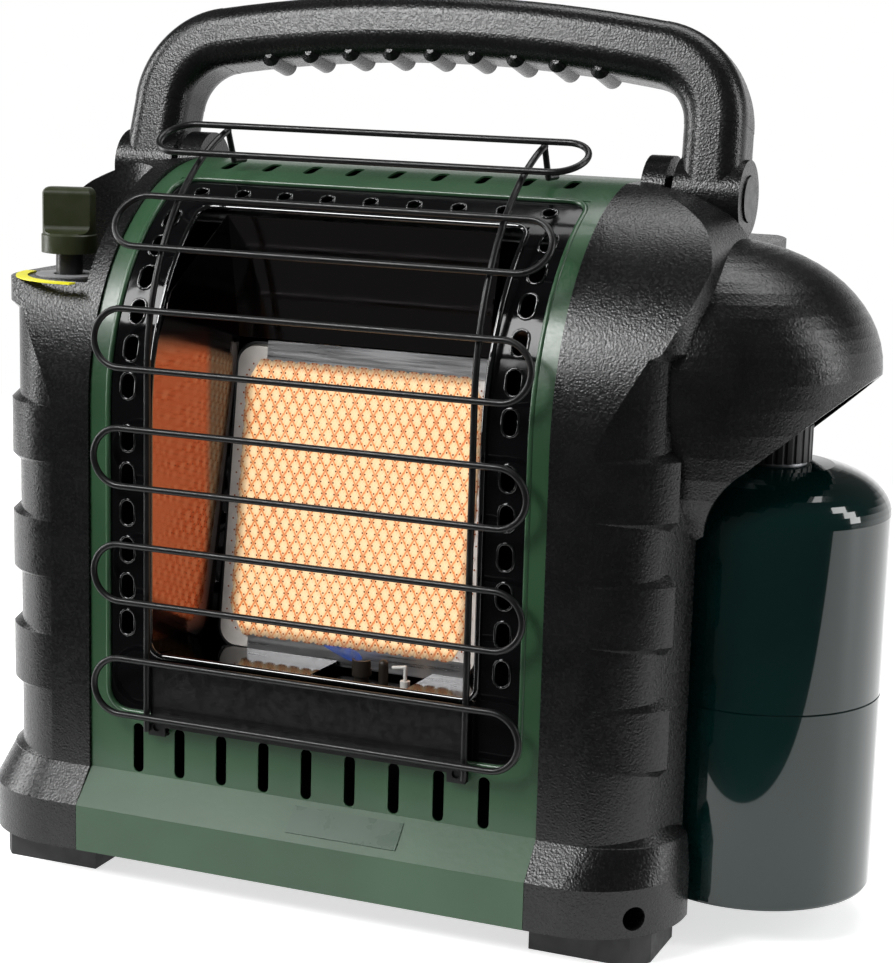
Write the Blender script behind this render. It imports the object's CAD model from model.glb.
"""Looks of a portable radiant heater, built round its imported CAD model."""

import math

import bpy
from mathutils import Matrix, Vector


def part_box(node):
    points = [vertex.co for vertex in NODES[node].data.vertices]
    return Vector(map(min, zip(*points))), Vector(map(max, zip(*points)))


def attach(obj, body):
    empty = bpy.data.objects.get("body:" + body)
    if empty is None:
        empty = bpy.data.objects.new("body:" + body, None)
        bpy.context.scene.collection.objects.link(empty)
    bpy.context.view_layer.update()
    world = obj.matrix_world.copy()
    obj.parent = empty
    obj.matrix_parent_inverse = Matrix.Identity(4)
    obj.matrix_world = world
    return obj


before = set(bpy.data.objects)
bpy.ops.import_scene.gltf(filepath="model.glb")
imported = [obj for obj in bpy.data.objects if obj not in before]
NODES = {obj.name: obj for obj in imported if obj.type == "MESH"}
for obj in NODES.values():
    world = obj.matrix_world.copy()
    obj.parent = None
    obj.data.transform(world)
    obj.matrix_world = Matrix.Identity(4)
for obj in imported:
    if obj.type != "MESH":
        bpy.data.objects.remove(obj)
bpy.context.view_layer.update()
MM = 0.001


def mid(node):
    """Middle of a node's box."""
    low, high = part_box(node)
    return (low + high) / 2


# ---------------------------------------------------------------- places taken from the frame
PANEL_X = mid("front_shell").x
PANEL_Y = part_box("front_shell")[0].y + 13.4 * MM
TILE_LEAN = math.radians(7.5)
TILE_C = Vector((PANEL_X, PANEL_Y + 44.6 * MM, 164.6 * MM))


# ---------------------------------------------------------------- materials
def links_of(material):
    """Nodes, links and main shader of a material."""
    tree = material.node_tree
    return tree.nodes, tree.links, tree.nodes["Principled BSDF"]


def new_material(name, colour, roughness, metallic=0.0, coat=0.0, coat_roughness=0.05, specular=0.5):
    """A plain material, which vary and add_bump then work on."""
    material = bpy.data.materials.new(name)
    material.use_nodes = True
    shader = material.node_tree.nodes["Principled BSDF"]
    shader.inputs["Base Color"].default_value = (*colour, 1)
    shader.inputs["Roughness"].default_value = roughness
    shader.inputs["Metallic"].default_value = metallic
    shader.inputs["Coat Weight"].default_value = coat
    shader.inputs["Coat Roughness"].default_value = coat_roughness
    shader.inputs["Specular IOR Level"].default_value = specular
    return material


def object_noise(nodes, links, scale, detail=2.0, stretch=(1, 1, 1)):
    """Noise in the piece's own coordinates."""
    place = nodes.new("ShaderNodeTexCoord")
    mapping = nodes.new("ShaderNodeMapping")
    mapping.inputs["Scale"].default_value = stretch
    texture = nodes.new("ShaderNodeTexNoise")
    texture.inputs["Scale"].default_value = scale
    texture.inputs["Detail"].default_value = detail
    links.new(place.outputs["Object"], mapping.inputs["Vector"])
    links.new(mapping.outputs["Vector"], texture.inputs["Vector"])
    return texture


def add_bump(material, scale, height, detail=2.0, stretch=(1, 1, 1)):
    """Fine relief: height in metres."""
    nodes, links, shader = links_of(material)
    texture = object_noise(nodes, links, scale, detail, stretch)
    bump = nodes.new("ShaderNodeBump")
    bump.inputs["Strength"].default_value = 1.0
    bump.inputs["Distance"].default_value = height
    links.new(texture.outputs["Fac"], bump.inputs["Height"])
    links.new(bump.outputs["Normal"], shader.inputs["Normal"])


def vary(material, socket, low, high, scale, detail=3.0, stretch=(1, 1, 1)):
    """Lets a colour or a number drift between two values over the surface."""
    start, stop = 0.35, 0.65                # the part of the noise that the drift spans
    nodes, links, shader = links_of(material)
    texture = object_noise(nodes, links, scale, detail, stretch)
    if isinstance(low, tuple):
        ramp = nodes.new("ShaderNodeValToRGB")
        ramp.color_ramp.elements[0].position = start
        ramp.color_ramp.elements[1].position = stop
        ramp.color_ramp.elements[0].color = (*low, 1)
        ramp.color_ramp.elements[1].color = (*high, 1)
        links.new(texture.outputs["Fac"], ramp.inputs["Fac"])
        links.new(ramp.outputs["Color"], shader.inputs[socket])
    else:
        spread = nodes.new("ShaderNodeMapRange")
        spread.inputs["From Min"].default_value = start
        spread.inputs["From Max"].default_value = stop
        spread.inputs["To Min"].default_value = low
        spread.inputs["To Max"].default_value = high
        links.new(texture.outputs["Fac"], spread.inputs["Value"])
        links.new(spread.outputs["Result"], shader.inputs[socket])


def grained_plastic():
    """Near-black moulded plastic with a pebble grain that sparkles in the light."""
    material = new_material("charcoal_grain", (0.006, 0.006, 0.0065), 0.27, specular=0.4)
    vary(material, "Base Color", (0.0045, 0.0045, 0.005), (0.0075, 0.0075, 0.008), 60)
    vary(material, "Roughness", 0.21, 0.31, 700, detail=1)
    add_bump(material, 1150, 0.00016, detail=1)
    return material


def smooth_plastic(name, colour, roughness):
    """Plain satin plastic or rubber."""
    material = new_material(name, colour, roughness)
    vary(material, "Roughness", roughness - 0.05, roughness + 0.06, 180)
    add_bump(material, 2600, 0.00003, detail=1)
    return material


def baked_paint(name, dark, light, roughness, coat):
    """Sprayed and baked paint: a slow drift of tone, fine flecks and a hint of orange peel."""
    material = new_material(name, light, roughness, coat=coat, coat_roughness=0.12)
    vary(material, "Base Color", dark, light, 14)
    vary(material, "Roughness", roughness - 0.05, roughness + 0.07, 900, detail=1)
    add_bump(material, 420, 0.00003, detail=2)
    return material


def gloss_enamel(name, coat, specular):
    """Black baked enamel: a low specular keeps the lamps' white out of broad faces."""
    material = new_material(name, (0.003, 0.003, 0.0035), 0.08,
                            coat=coat, coat_roughness=0.03, specular=specular)
    vary(material, "Roughness", 0.06, 0.13, 40)
    add_bump(material, 130, 0.00008, detail=1)
    return material


def mirror_enamel():
    """Polished dark reflector: warm beside the tile, whose glow it mirrors, and nearly black elsewhere."""
    warm, plain_colour, sooty = (0.31, 0.115, 0.075), (0.11, 0.10, 0.10), (0.012, 0.010, 0.010)
    warm_bounds = (("Z", 240 * MM, 228 * MM), ("Z", 106 * MM, 116 * MM),
                   ("Y", PANEL_Y + 37 * MM, PANEL_Y + 33 * MM))
    soot_top, soot_end = 112 * MM, 126 * MM
    material = new_material("dark_reflector", plain_colour, 0.13, metallic=1.0)
    nodes, links, shader = links_of(material)
    place = nodes.new("ShaderNodeTexCoord")
    parts = nodes.new("ShaderNodeSeparateXYZ")
    links.new(place.outputs["Object"], parts.inputs["Vector"])
    lit = None
    for axis, dark, bright in warm_bounds:
        edge = nodes.new("ShaderNodeMapRange")
        edge.inputs["From Min"].default_value = dark
        edge.inputs["From Max"].default_value = bright
        links.new(parts.outputs[axis], edge.inputs["Value"])
        if lit is None:
            lit = edge.outputs["Result"]
            continue
        both = nodes.new("ShaderNodeMath")
        both.operation = "MULTIPLY"
        links.new(lit, both.inputs[0])
        links.new(edge.outputs["Result"], both.inputs[1])
        lit = both.outputs[0]
    tint = nodes.new("ShaderNodeMix")
    tint.data_type = "RGBA"
    tint.inputs["B"].default_value = (*warm, 1)
    links.new(lit, tint.inputs["Factor"])
    rise = nodes.new("ShaderNodeMapRange")
    rise.inputs["From Min"].default_value = soot_top
    rise.inputs["From Max"].default_value = soot_end
    links.new(parts.outputs["Z"], rise.inputs["Value"])
    plain = nodes.new("ShaderNodeMix")
    plain.data_type = "RGBA"
    plain.inputs["A"].default_value = (*sooty, 1)
    plain.inputs["B"].default_value = (*plain_colour, 1)
    links.new(rise.outputs["Result"], plain.inputs["Factor"])
    links.new(plain.outputs["Result"], tint.inputs["A"])
    links.new(tint.outputs["Result"], shader.inputs["Base Color"])
    vary(material, "Roughness", 0.04, 0.11, 30, stretch=(1, 1, 6))
    add_bump(material, 60, 0.00006, detail=1, stretch=(1, 1, 0.3))
    return material


def sheet_steel(name="sheet_steel", colour=(0.52, 0.52, 0.53), roughness=0.33):
    """Rolled steel sheet with a faint upright brushing."""
    material = new_material(name, colour, roughness, metallic=1.0)
    vary(material, "Roughness", roughness - 0.07, roughness + 0.10, 30, stretch=(1, 1, 20))
    add_bump(material, 500, 0.00001, stretch=(1, 1, 14))
    return material


def metal(name, colour, roughness):
    """Turned, drawn or cast metal."""
    material = new_material(name, colour, roughness, metallic=1.0)
    vary(material, "Roughness", roughness - 0.05, roughness + 0.08, 150)
    add_bump(material, 700, 0.00001)
    return material


def wire_coat():
    """Black coat of the guard's wires."""
    material = new_material("wire_coat", (0.006, 0.006, 0.0065), 0.32, specular=0.35)
    vary(material, "Roughness", 0.28, 0.42, 300)
    add_bump(material, 900, 0.00003)
    return material


def bottle_paint():
    """Deep gloss green, with the slight waves of a drawn steel bottle."""
    material = new_material("bottle_paint", (0.0015, 0.016, 0.014), 0.10,
                            coat=1.0, coat_roughness=0.03, specular=0.1)
    vary(material, "Base Color", (0.0010, 0.0125, 0.0110), (0.0020, 0.0195, 0.0170), 9)
    vary(material, "Roughness", 0.08, 0.15, 60)
    add_bump(material, 14, 0.00012, detail=1, stretch=(1, 1, 0.35))
    return material


def printed(name, colour, roughness=0.4):
    """Printed film."""
    material = new_material(name, colour, roughness)
    vary(material, "Roughness", roughness - 0.05, roughness + 0.05, 90)
    return material


def ceramic(name, colour):
    """Fired ceramic or its fibre."""
    material = new_material(name, colour, 0.85)
    vary(material, "Base Color", tuple(c * 0.9 for c in colour), colour, 160)
    add_bump(material, 1100, 0.00008)
    return material


def give(material, *nodes):
    """Dresses CAD nodes in a material."""
    for node in nodes:
        mesh = NODES[node].data
        mesh.materials.clear()
        mesh.materials.append(material)


def smooth_shading(angle=math.radians(28)):
    """Shades curved faces smoothly and keeps the sharp edges of the CAD nodes."""
    for node in NODES.values():
        for polygon in node.data.polygons:
            polygon.use_smooth = True
        node.data.set_sharp_from_angle(angle=angle)


GRAIN = grained_plastic()
PANEL = baked_paint("panel_green", (0.018, 0.060, 0.0245), (0.029, 0.084, 0.0365), 0.34, 0.25)
ENAMEL = gloss_enamel("black_enamel", 0.0, 0.2)
ENAMEL_EDGE = gloss_enamel("enamel_edge", 0.8, 0.5)
REFLECTOR = mirror_enamel()
STEEL = sheet_steel()
DULL_STEEL = sheet_steel("dull_steel", (0.10, 0.10, 0.105), 0.5)
WIRE = wire_coat()
SOOT = baked_paint("sooty_metal", (0.020, 0.016, 0.012), (0.040, 0.032, 0.024), 0.45, 0.0)
BOTTLE = bottle_paint()
BRASS = metal("brass", (0.62, 0.46, 0.20), 0.3)
COPPER = metal("copper", (0.60, 0.30, 0.18), 0.32)
ALLOY = metal("cast_alloy", (0.50, 0.51, 0.53), 0.45)
ZINC = metal("zinc", (0.55, 0.55, 0.57), 0.28)
RUBBER = smooth_plastic("rubber", (0.016, 0.016, 0.017), 0.62)
PLAIN_BLACK = smooth_plastic("plain_black", (0.010, 0.010, 0.011), 0.38)
CAP = smooth_plastic("pivot_cap", (0.016, 0.016, 0.018), 0.30)
OLIVE = smooth_plastic("knob_olive", (0.024, 0.030, 0.010), 0.38)
BACK = baked_paint("back_black", (0.014, 0.014, 0.015), (0.020, 0.020, 0.021), 0.42, 0.0)
TILE_BODY = ceramic("tile_body", (0.84, 0.80, 0.75))
FIBRE = ceramic("fibre", (0.60, 0.58, 0.54))
WHITE_GLAZE = ceramic("white_glaze", (0.80, 0.79, 0.75))
YELLOW = printed("yellow_print", (0.86, 0.80, 0.02))
DIAL = printed("dial_film", (0.30, 0.30, 0.31))
PATCH = printed("patch_film", (0.020, 0.060, 0.030), 0.3)

give(GRAIN, "left_casing", "right_casing", "handle")
give(PANEL, "front_shell")
give(BACK, "back_panel", "pilot_bracket")
give(DULL_STEEL, "base_pan", "chassis_sides", "burner_plenum")
give(STEEL, "tile_clips", "venturi_tube", "valve_bracket", "tip_pendulum",
     "heat_shield", "swivel_bracket")
give(RUBBER, "feet", "inlet_seal")
give(ENAMEL, "window_frame")
give(REFLECTOR, "reflector")
give(TILE_BODY, "burner_tile")
give(FIBRE, "tile_gasket")
give(BRASS, "orifice_holder", "swivel_elbow", "valve_plug")
give(SOOT, "pilot_burner", "thermocouple")
give(COPPER, "burner_feed_tube", "pilot_tube", "supply_tube")
give(WHITE_GLAZE, "spark_electrode")
give(ALLOY, "gas_valve", "regulator_can", "cylinder_valve")
give(PLAIN_BLACK, "piezo_igniter", "tip_switch", "pivot_washers",
     "knob_shaft", "inlet_neck", "inlet_collar")
give(WIRE, "guard_loops", "guard_uprights", "guard_plate", "guard_screws")
give(ZINC, "case_screws", "pivot_bolts")
give(DIAL, "dial_plate")
give(YELLOW, "dial_arc")
give(PATCH, "label_patch")
give(CAP, "handle_caps")
give(OLIVE, "knob")
give(BOTTLE, "cylinder_shell", "cylinder_ring")
smooth_shading()


# ---------------------------------------------------------------- pieces
def add_piece(name, verts, faces, material, body="heater", matrix=None, smooth=False):
    """A piece of the dressed part, carried by a body."""
    mesh = bpy.data.meshes.new(name)
    mesh.from_pydata(verts, [], faces)
    mesh.materials.append(material)
    for polygon in mesh.polygons:
        polygon.use_smooth = smooth
    piece = bpy.data.objects.new(name, mesh)
    bpy.context.scene.collection.objects.link(piece)
    if matrix is not None:
        piece.matrix_world = matrix
    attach(piece, body)
    return piece


# The tile's own frame: X along its width, Y out of its back, Z up its face.
TILE_FRAME = Matrix.Translation(TILE_C) @ Matrix.Rotation(-TILE_LEAN, 4, "X")
DIAMOND_W = 5.8 * MM
DIAMOND_H = 10.0 * MM
DIAMOND_SLOPE = 0.17                        # share of a diamond's half width taken by its slope
FIELD_W, FIELD_H = 111 * MM, 121 * MM       # the field of diamonds inside the plain border
GROOVE_Y = -0.15 * MM                       # foot of the relief, a hair in front of the tile
GROOVE_DEPTH = 0.7 * MM
BLUNT_CORNER = 7 * MM                       # how far the field's corners are cut back


def glow_material():
    """Glowing ceramic: pale yellow diamonds between orange grooves, cooler at the edge of the field."""
    glow, drift_scale, drift_share = 0.92, 45, 0.12
    cool_edge, warm_edge = -0.5 * MM, 5 * MM                # from the edge of the field inwards
    stops = ((0.07, (0.66, 0.13, 0.018)), (0.12, (0.90, 0.36, 0.10)),
             (0.17, (1.0, 0.66, 0.35)), (0.50, (1.0, 0.76, 0.46)))
    material = new_material("tile_glow", (0.30, 0.20, 0.13), 0.9)
    nodes, links, shader = links_of(material)
    place = nodes.new("ShaderNodeTexCoord")
    parts = nodes.new("ShaderNodeSeparateXYZ")
    links.new(place.outputs["Object"], parts.inputs["Vector"])

    def math_node(kind, first, second=None, third=None):
        node = nodes.new("ShaderNodeMath")
        node.operation = kind
        for slot, value in enumerate((first, second, third)):
            if value is None:
                continue
            if isinstance(value, (int, float)):
                node.inputs[slot].default_value = value
            else:
                links.new(value, node.inputs[slot])
        return node.outputs[0]

    across = math_node("DIVIDE", parts.outputs["X"], DIAMOND_W)
    up = math_node("DIVIDE", parts.outputs["Z"], DIAMOND_H)
    rising = math_node("ADD", across, up)
    falling = math_node("SUBTRACT", across, up)
    # distance from the nearest groove, 0 in the groove and 0.5 in the middle of a diamond
    near_rising = math_node("PINGPONG", rising, 0.5)
    near_falling = math_node("PINGPONG", falling, 0.5)
    inside = math_node("MINIMUM", near_rising, near_falling)
    # distance from the edge of the field
    edge_x = math_node("SUBTRACT", FIELD_W / 2, math_node("ABSOLUTE", parts.outputs["X"]))
    edge_z = math_node("SUBTRACT", FIELD_H / 2, math_node("ABSOLUTE", parts.outputs["Z"]))
    edge = math_node("MINIMUM", edge_x, edge_z)
    warm = nodes.new("ShaderNodeMapRange")
    warm.inputs["From Min"].default_value = cool_edge
    warm.inputs["From Max"].default_value = warm_edge
    links.new(edge, warm.inputs["Value"])
    drift = object_noise(nodes, links, drift_scale, detail=2)
    uneven = math_node("MULTIPLY_ADD", drift.outputs["Fac"], drift_share, inside)
    heat = nodes.new("ShaderNodeValToRGB")
    ramp = heat.color_ramp
    for element, (share, colour) in zip(ramp.elements, (stops[0], stops[-1])):
        element.position = share
        element.color = (*colour, 1)
    for share, colour in stops[1:-1]:
        ramp.elements.new(share).color = (*colour, 1)
    links.new(uneven, heat.inputs["Fac"])
    links.new(heat.outputs["Color"], shader.inputs["Emission Color"])
    strength = math_node("MULTIPLY", warm.outputs["Result"], glow)
    links.new(strength, shader.inputs["Emission Strength"])
    return material


def clamp(value, limit):
    """The value, kept between minus and plus the limit."""
    return max(-limit, min(limit, value))


def in_corner(x, z, inset=0.0):
    """Whether a point of the field lies in one of its blunt corners."""
    return (FIELD_W / 2 - abs(x)) + (FIELD_H / 2 - abs(z)) < BLUNT_CORNER + inset


def diamond_middles():
    """Middles of the diamonds, row by row; every other row stands half a diamond aside."""
    rows = int(FIELD_H / DIAMOND_H) + 1
    columns = int(FIELD_W / DIAMOND_W) + 1
    for row in range(-2 * rows, 2 * rows + 1):
        for column in range(-columns, columns + 1):
            yield (column + (row % 2) / 2) * DIAMOND_W, row * DIAMOND_H / 2


def tile_face():
    """Waffled front of the tile: each diamond is a low flat-topped pyramid."""
    overhang = 0.6              # share of a half diamond that may lie outside and is pressed flat there
    verts, faces = [], []

    def diamond(cx, cz):
        half_w, half_h = DIAMOND_W / 2, DIAMOND_H / 2
        first = len(verts)
        corners = [(half_w, 0), (0, half_h), (-half_w, 0), (0, -half_h)]
        for shrink, y in ((1.0, GROOVE_Y), (1 - DIAMOND_SLOPE, GROOVE_Y - GROOVE_DEPTH)):
            for dx, dz in corners:
                x, z = cx + dx * shrink, cz + dz * shrink
                verts.append((clamp(x, FIELD_W / 2), y, clamp(z, FIELD_H / 2)))
        for i in range(4):
            j = (i + 1) % 4
            faces.append((first + i, first + 4 + i, first + 4 + j, first + j))
        faces.append(tuple(first + 4 + i for i in (3, 2, 1, 0)))

    for cx, cz in diamond_middles():
        outside_x = abs(cx) > FIELD_W / 2 + overhang * DIAMOND_W / 2
        outside_z = abs(cz) > FIELD_H / 2 + overhang * DIAMOND_H / 2
        if not (outside_x or outside_z or in_corner(cx, cz)):
            diamond(cx, cz)
    return add_piece("tile_diamonds", verts, faces, glow_material(), matrix=TILE_FRAME)


def tile_ports():
    """Ports as small dark discs, four to a diamond, standing a hair in front of the relief."""
    radius, sides = 0.44 * MM, 6
    side_margin, corner_inset = 2.4 * MM, -2 * MM
    y = GROOVE_Y - GROOVE_DEPTH - 0.04 * MM
    verts, faces = [], []
    for cx, cz in diamond_middles():
        for dx, dz in ((0, 0.22), (0, -0.22), (-0.17, 0), (0.17, 0)):
            x, z = cx + dx * DIAMOND_W, cz + dz * DIAMOND_H
            if abs(x) > FIELD_W / 2 + side_margin or abs(z) > FIELD_H / 2 or in_corner(x, z, corner_inset):
                continue
            first = len(verts)
            for i in range(sides):
                turn = 2 * math.pi * i / sides
                verts.append((x + radius * math.cos(turn), y, z + radius * math.sin(turn)))
            faces.append(tuple(first + i for i in range(sides)))
    dark = new_material("port_dark", (0.05, 0.022, 0.010), 0.9)
    links_of(dark)[2].inputs["Emission Color"].default_value = (0.40, 0.08, 0.015, 1)
    vary(dark, "Emission Strength", 0.25, 0.65, 60)
    return add_piece("tile_ports", verts, faces, dark, matrix=TILE_FRAME)


tile_face()
tile_ports()


def sweep(rows, sides, closed):
    """Faces that join rings, each of so many points, whose first points are the rows."""
    count = len(rows)
    faces = []
    for i in range(count if closed else count - 1):
        first, second = rows[i], rows[(i + 1) % count]
        for k in range(sides):
            m = (k + 1) % sides
            faces.append((first + k, second + k, second + m, first + m))
    return faces


def beads(name, outlines, radius, material, sides=8):
    """Round beads along closed outlines."""
    verts, faces = [], []
    for points in outlines:
        rows = []
        for i, point in enumerate(points):
            ahead = (points[(i + 1) % len(points)] - points[i - 1]).normalized()
            side = ahead.cross(Vector((0, 1, 0.2))).normalized()
            up = side.cross(ahead)
            rows.append(len(verts))
            for k in range(sides):
                turn = 2 * math.pi * k / sides
                verts.append(point + radius * (math.cos(turn) * side + math.sin(turn) * up))
        faces += sweep(rows, sides, closed=True)
    return add_piece(name, verts, faces, material, smooth=True)


# The front is upright up to ARCH_Z and then bends back round an arch of radius ARCH_R.
ARCH_R, ARCH_Z = 100 * MM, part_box("front_shell")[1].z - 100 * MM


def up_arch(degrees):
    """Way along the front to a place that lies this far round the arch."""
    return ARCH_Z + math.radians(degrees) * ARCH_R


def on_front(x, along, depth):
    """A point on the front: along is its height, measured along the arch above ARCH_Z."""
    if along <= ARCH_Z:
        return Vector((PANEL_X + x, PANEL_Y + depth, along))
    angle = (along - ARCH_Z) / ARCH_R
    reach = ARCH_R - depth
    y, z = PANEL_Y + ARCH_R - reach * math.cos(angle), ARCH_Z + reach * math.sin(angle)
    return Vector((PANEL_X + x, y, z))


def round_corner(cx, along, r, start, depth):
    """A quarter turn on the front, clockwise from the angle start."""
    turns = [math.radians(start - 15 * i) for i in range(7)]
    return [on_front(cx + r * math.cos(t), along + r * math.sin(t), depth) for t in turns]


def window_outline(half_w, low, high, r, depth):
    """Rounded outline on the front, from its lower left corner clockwise."""
    rise = [low + r + (high - low - 2 * r) * i / 24 for i in range(25)]
    path = [on_front(-half_w, z, depth) for z in rise]
    path += round_corner(r - half_w, high - r, r, 180, depth)[1:]
    path += [on_front(half_w - r - (2 * half_w - 2 * r) * (1 - i / 8), high, depth) for i in range(1, 9)]
    path += round_corner(half_w - r, high - r, r, 90, depth)[1:]
    path += [on_front(half_w, z, depth) for z in reversed(rise)][1:]
    path += round_corner(half_w - r, low + r, r, 0, depth)[1:]
    path += [on_front(half_w - r - (2 * half_w - 2 * r) * i / 8, low, depth) for i in range(1, 9)]
    path += round_corner(r - half_w, low + r, r, 270, depth)[1:-1]
    return path


def obround(x, along, width, length, depth):
    """Outline of an upright slot on the front."""
    r = width / 2
    path = []
    for sign, start in ((1, 0), (-1, 180)):
        for i in range(7):
            turn = math.radians(start + 30 * i)
            rise = along + sign * (length / 2 - r) + r * math.sin(turn)
            path.append(on_front(x + r * math.cos(turn), rise, depth))
    return path


WINDOW_W, WINDOW_LOW = 94.5 * MM, 75 * MM               # half width and sill of the panel's window
WINDOW_HIGH = up_arch(69)
WINDOW_R = 10 * MM
CUTOUT_W, CUTOUT_LOW = 75 * MM, 101 * MM                # the opening in the enamelled frame
CUTOUT_HIGH = up_arch(57)
CUTOUT_R = 6 * MM
FRAME_DEPTH = 1.0 * MM                                  # how far the frame lies behind the front


def window_lip():
    """Rolled lip round the panel's window, with the fillets of its upper corners."""
    margin, fillet_depth = 0.4 * MM, 0.3 * MM
    low, high = WINDOW_LOW - margin, WINDOW_HIGH + margin
    outline = window_outline(WINDOW_W + margin, low, high, WINDOW_R, 0.5 * MM)
    beads("window_lip", [outline], 1.25 * MM, PANEL)
    verts, faces = [], []
    for side in (-1, 1):
        first = len(verts)
        verts.append(on_front(side * (WINDOW_W + 0.6 * MM), high + 0.2 * MM, fillet_depth))
        arc = round_corner(WINDOW_W + margin - WINDOW_R, high - WINDOW_R, WINDOW_R, 90, fillet_depth)
        for point in arc:
            verts.append(Vector((PANEL_X + side * (point.x - PANEL_X), point.y, point.z)))
        for i in range(1, len(arc)):
            faces.append((first, first + i, first + i + 1))
    add_piece("window_fillets", verts, faces, PANEL)


def frame_rims():
    """Flange round the frame's opening and the rims of its air holes."""
    cutout = window_outline(CUTOUT_W, CUTOUT_LOW, CUTOUT_HIGH, CUTOUT_R, FRAME_DEPTH - 0.2 * MM)
    beads("frame_flange", [cutout], 1.3 * MM, ENAMEL_EDGE)
    slot_x, slot_pitch, slot_size = 85.75 * MM, 16 * MM, (7 * MM, 11.5 * MM)
    hole_pitch, hole_size = 20 * MM, (6.6 * MM, 6.7 * MM)
    rims = []
    for side in (-1, 1):
        for i in range(6):
            for start in (114 * MM, up_arch(6)):
                rims.append(obround(side * slot_x, start + i * slot_pitch, *slot_size, FRAME_DEPTH))
    for i in range(-4, 5):
        rims.append(obround(i * hole_pitch, up_arch(63), *hole_size, FRAME_DEPTH))
    beads("frame_rims", rims, 0.65 * MM, ENAMEL_EDGE, sides=6)


def pilot_flame():
    """Small blue flame that leans from the pilot burner to the tile's lower edge."""
    low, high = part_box("pilot_burner")
    foot = Vector(((low.x + high.x) / 2, (low.y + high.y) / 2, high.z))
    tip = foot + Vector((-20, 5, 2)) * MM
    rings, sides = 9, 10
    verts, rows = [], []
    for i in range(rings):
        share = i / (rings - 1)
        middle = foot.lerp(tip, share)
        radius = 0.3 * MM + 2.4 * MM * math.sin(math.pi * share ** 0.7) * (1 - 0.4 * share)
        rows.append(len(verts))
        for k in range(sides):
            turn = 2 * math.pi * k / sides
            verts.append(middle + radius * Vector((0.3 * math.sin(turn), math.cos(turn), math.sin(turn))))
    faces = sweep(rows, sides, closed=False)
    blue = new_material("pilot_blue", (0.0, 0.0, 0.0), 0.6)
    links_of(blue)[2].inputs["Emission Color"].default_value = (0.010, 0.075, 0.42, 1)
    vary(blue, "Emission Strength", 0.25, 0.9, 140)
    vary(blue, "Alpha", 0.1, 0.55, 170)
    return add_piece("pilot_flame", verts, faces, blue, smooth=True)


def rear_baffle():
    """Plain dark sheet inside the back panel, which stops the view through its vents."""
    low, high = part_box("back_panel")
    gap, edge = 6 * MM, 6 * MM
    y = low.y - gap
    verts = [(x, y, z) for x, z in ((low.x + edge, low.z + edge), (high.x - edge, low.z + edge),
                                    (high.x - edge, high.z), (low.x + edge, high.z))]
    return add_piece("rear_baffle", verts, [(0, 1, 2, 3)], DULL_STEEL)


window_lip()
frame_rims()
pilot_flame()
rear_baffle()


# ---------------------------------------------------------------- floor, light and camera
def stage_material():
    """White floor: what it adds of its own shows only to the camera and in glosses, and lights nothing."""
    own_white = 0.65
    material = new_material("stage_pale", (0.80, 0.80, 0.80), 0.6)
    nodes, links, shader = links_of(material)
    shader.inputs["Emission Color"].default_value = (1, 1, 1, 1)
    path = nodes.new("ShaderNodeLightPath")
    seen = path.outputs["Is Camera Ray"]
    for ray in ("Is Glossy Ray", "Is Transmission Ray"):
        either = nodes.new("ShaderNodeMath")
        either.operation = "MAXIMUM"
        links.new(seen, either.inputs[0])
        links.new(path.outputs[ray], either.inputs[1])
        seen = either.outputs[0]
    share = nodes.new("ShaderNodeMath")
    share.operation = "MULTIPLY"
    share.inputs[1].default_value = own_white
    links.new(seen, share.inputs[0])
    links.new(share.outputs[0], shader.inputs["Emission Strength"])
    return material


def stage():
    """The floor under the heater, a hair below its feet."""
    side, front, rear, drop = 1.2, -0.23, 0.95, 0.2 * MM
    corners = [(-side, front, 0), (side, front, 0), (side, rear, 0), (-side, rear, 0)]
    mesh = bpy.data.meshes.new("floor")
    mesh.from_pydata(corners, [], [(0, 1, 2, 3)])
    mesh.materials.append(stage_material())
    floor = bpy.data.objects.new("floor", mesh)
    floor.location.z = -drop
    bpy.context.scene.collection.objects.link(floor)


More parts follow.
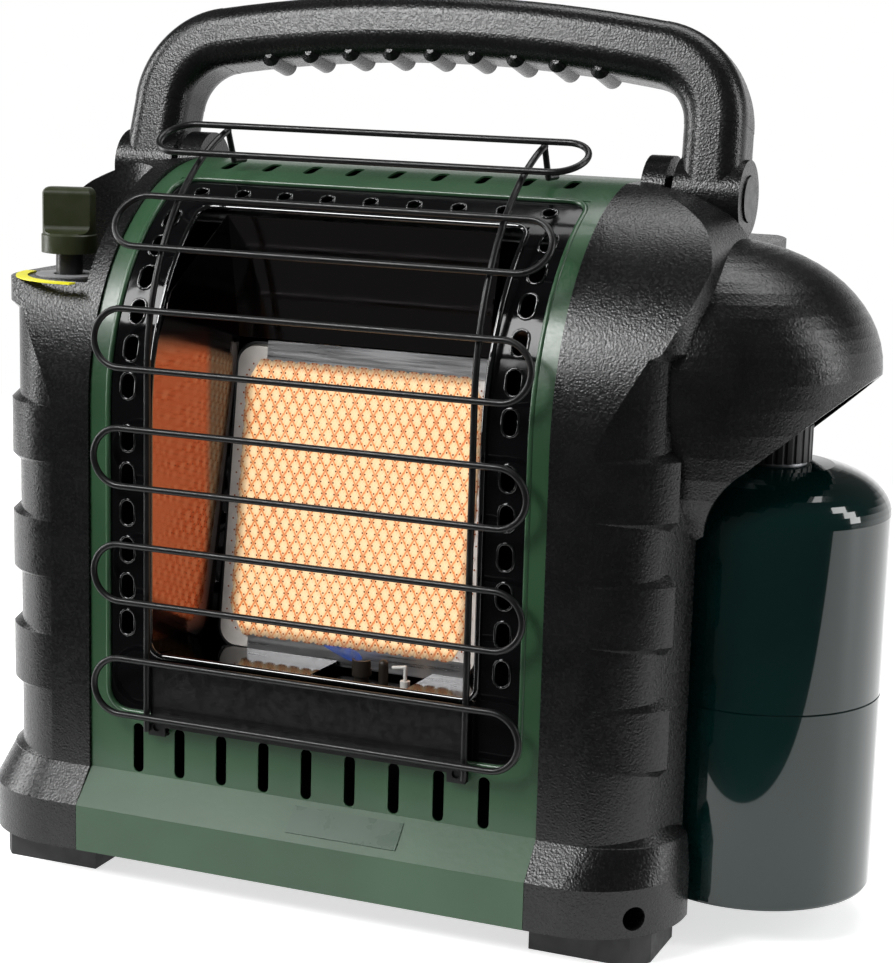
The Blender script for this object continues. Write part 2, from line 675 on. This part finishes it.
def world_light():
    """Even light; the object's glosses show a white backdrop low behind it and a dark room elsewhere."""
    even_light, dark_room, white = 0.24, 0.06, 1.0
    backdrop_edges = (("Y", 0.05, 0.55), ("Z", 0.34, 0.08))     # where the backdrop starts and is full
    world = bpy.data.worlds.new("studio")
    bpy.context.scene.world = world
    world.use_nodes = True
    nodes, links = world.node_tree.nodes, world.node_tree.links
    nodes.clear()
    output = nodes.new("ShaderNodeOutputWorld")
    path = nodes.new("ShaderNodeLightPath")

    def sky(strength=None, socket=None):
        background = nodes.new("ShaderNodeBackground")
        background.inputs["Color"].default_value = (1, 1, 1, 1)
        if socket is None:
            background.inputs["Strength"].default_value = strength
        else:
            links.new(socket, background.inputs["Strength"])
        return background.outputs["Background"]

    def choose(ray, first, second):
        mix = nodes.new("ShaderNodeMixShader")
        links.new(path.outputs[ray], mix.inputs["Fac"])
        links.new(first, mix.inputs[1])
        links.new(second, mix.inputs[2])
        return mix.outputs["Shader"]

    place = nodes.new("ShaderNodeTexCoord")
    parts = nodes.new("ShaderNodeSeparateXYZ")
    links.new(place.outputs["Generated"], parts.inputs["Vector"])
    bounds = []
    for axis, near, far in backdrop_edges:
        bound = nodes.new("ShaderNodeMapRange")
        bound.inputs["From Min"].default_value = near
        bound.inputs["From Max"].default_value = far
        links.new(parts.outputs[axis], bound.inputs["Value"])
        bounds.append(bound.outputs["Result"])
    backdrop = nodes.new("ShaderNodeMath")
    backdrop.operation = "MULTIPLY"
    for slot, bound in enumerate(bounds):
        links.new(bound, backdrop.inputs[slot])
    room = nodes.new("ShaderNodeMapRange")
    room.inputs["To Min"].default_value = dark_room
    room.inputs["To Max"].default_value = white
    links.new(backdrop.outputs[0], room.inputs["Value"])
    glossy = choose("Is Glossy Ray", sky(strength=even_light), sky(socket=room.outputs["Result"]))
    clear = choose("Is Transmission Ray", glossy, sky(strength=white))
    links.new(choose("Is Camera Ray", clear, sky(strength=white)), output.inputs["Surface"])


def area_lamp(name, place, target, width, height, power):
    """A soft rectangular lamp that faces its target: metres and watts."""
    data = bpy.data.lights.new(name, "AREA")
    data.shape = "RECTANGLE"
    data.size, data.size_y = width, height
    data.energy = power
    lamp = bpy.data.objects.new(name, data)
    lamp.location = place
    aim = Vector(target) - Vector(place)
    lamp.rotation_euler = aim.to_track_quat("-Z", "Y").to_euler()
    bpy.context.scene.collection.objects.link(lamp)


def camera():
    """The photograph's view: solved from the slots, the guard, the base and the cylinder."""
    focal_px, image_h, sensor_mm = 2347.0, 963.0, 36.0
    yaw, pitch, roll = (math.radians(a) for a in (22.0, 11.54, 1.53))
    place = Vector((403.5, -849.6, 377.6)) * MM + Vector((PANEL_X, PANEL_Y, 0))
    ahead = Vector((-math.sin(yaw) * math.cos(pitch), math.cos(yaw) * math.cos(pitch), -math.sin(pitch)))
    level = Vector((math.cos(yaw), math.sin(yaw), 0))
    upright = level.cross(ahead)
    right = math.cos(roll) * level + math.sin(roll) * upright
    up = -math.sin(roll) * level + math.cos(roll) * upright
    data = bpy.data.cameras.new("camera")
    data.sensor_width = sensor_mm
    data.lens = focal_px * sensor_mm / image_h
    eye = bpy.data.objects.new("camera", data)
    eye.matrix_world = Matrix((right, up, -ahead)).transposed().to_4x4()
    eye.location = place
    bpy.context.scene.collection.objects.link(eye)
    bpy.context.scene.camera = eye


stage()
world_light()
area_lamp("key", (-0.75, -1.25, 1.35), (0, 0, 0.2), 0.65, 0.65, 28)
area_lamp("left_strip", (-1.5, -0.3, 0.6), (0, 0, 0.2), 0.4, 1.2, 17)
area_lamp("right_strip", (1.4, 0.25, 0.7), (0.1, 0, 0.2), 0.30, 1.3, 9)
area_lamp("top", (0.1, 0.5, 1.6), (0, 0, 0.25), 1.2, 0.6, 9)
camera()
scene = bpy.context.scene
scene.view_settings.view_transform = "Standard"
